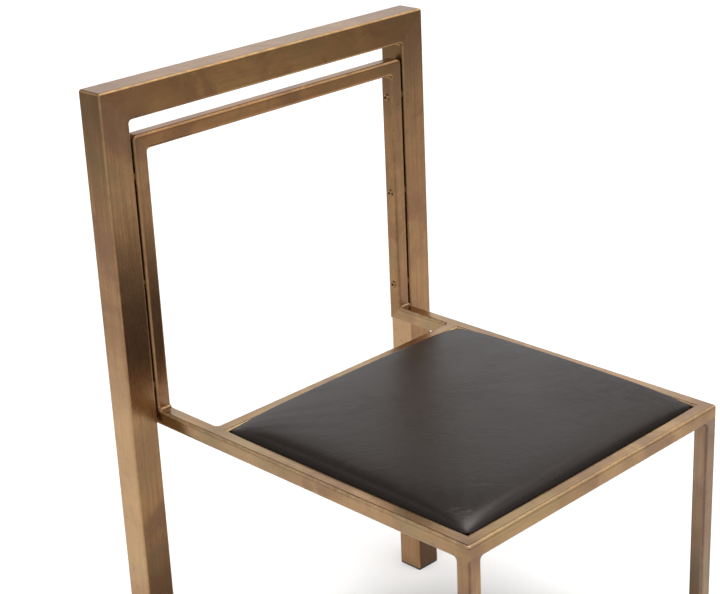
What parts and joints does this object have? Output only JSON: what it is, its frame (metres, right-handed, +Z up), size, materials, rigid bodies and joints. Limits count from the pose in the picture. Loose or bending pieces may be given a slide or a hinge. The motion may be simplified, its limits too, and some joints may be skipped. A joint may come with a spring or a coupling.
{
  "type": "dining chair",
  "caption": "Square-tube metal dining chair: a thin inner frame with a drop-in padded leather seat, screwed on spacers inside a heavier open back frame.",
  "frame": {"origin": "on the floor, in the middle of the chair's width and depth", "axes": "+X across the chair to the right as seen from the front, +Y towards the back, so the seat faces -Y, +Z up"},
  "size_m": [0.54, 0.555, 0.85],
  "materials": {
    "bronze_tube": "brushed antique bronze patina, clear lacquer",
    "bronze_screw": "antique bronze",
    "zinc": "zinc plated",
    "black_plastic": "moulded, satin",
    "plywood": "raw birch plywood",
    "foam": "open-cell foam",
    "leather": "satin, faintly creased",
    "liner": "non-woven dust cover"
  },
  "bodies": {
    "root": {"back_top_rail": "bronze_tube", "rear_leg_left": "bronze_tube", "rear_leg_right": "bronze_tube", "inner_top_rail": "bronze_tube", "inner_upright_left": "bronze_tube", "inner_upright_right": "bronze_tube", "seat_side_rail_left": "bronze_tube", "seat_side_rail_right": "bronze_tube", "seat_front_rail": "bronze_tube", "seat_rear_rail": "bronze_tube", "front_leg_left": "bronze_tube", "front_leg_right": "bronze_tube", "frame_screws_left": "bronze_screw", "frame_screws_right": "bronze_screw", "frame_spacers_left": "bronze_screw", "frame_spacers_right": "bronze_screw", "rivet_nuts_left": "zinc", "rivet_nuts_right": "zinc", "rear_foot_left": "black_plastic", "rear_foot_right": "black_plastic", "front_foot_left": "black_plastic", "front_foot_right": "black_plastic", "corner_tab_front_left": "bronze_tube", "corner_tab_front_right": "bronze_tube", "corner_tab_rear_left": "bronze_tube", "corner_tab_rear_right": "bronze_tube", "seat_board": "plywood", "seat_foam": "foam", "seat_cover": "leather", "dust_cover": "liner", "t_nuts": "zinc", "seat_screws": "zinc"}
  },
  "joints": []
}
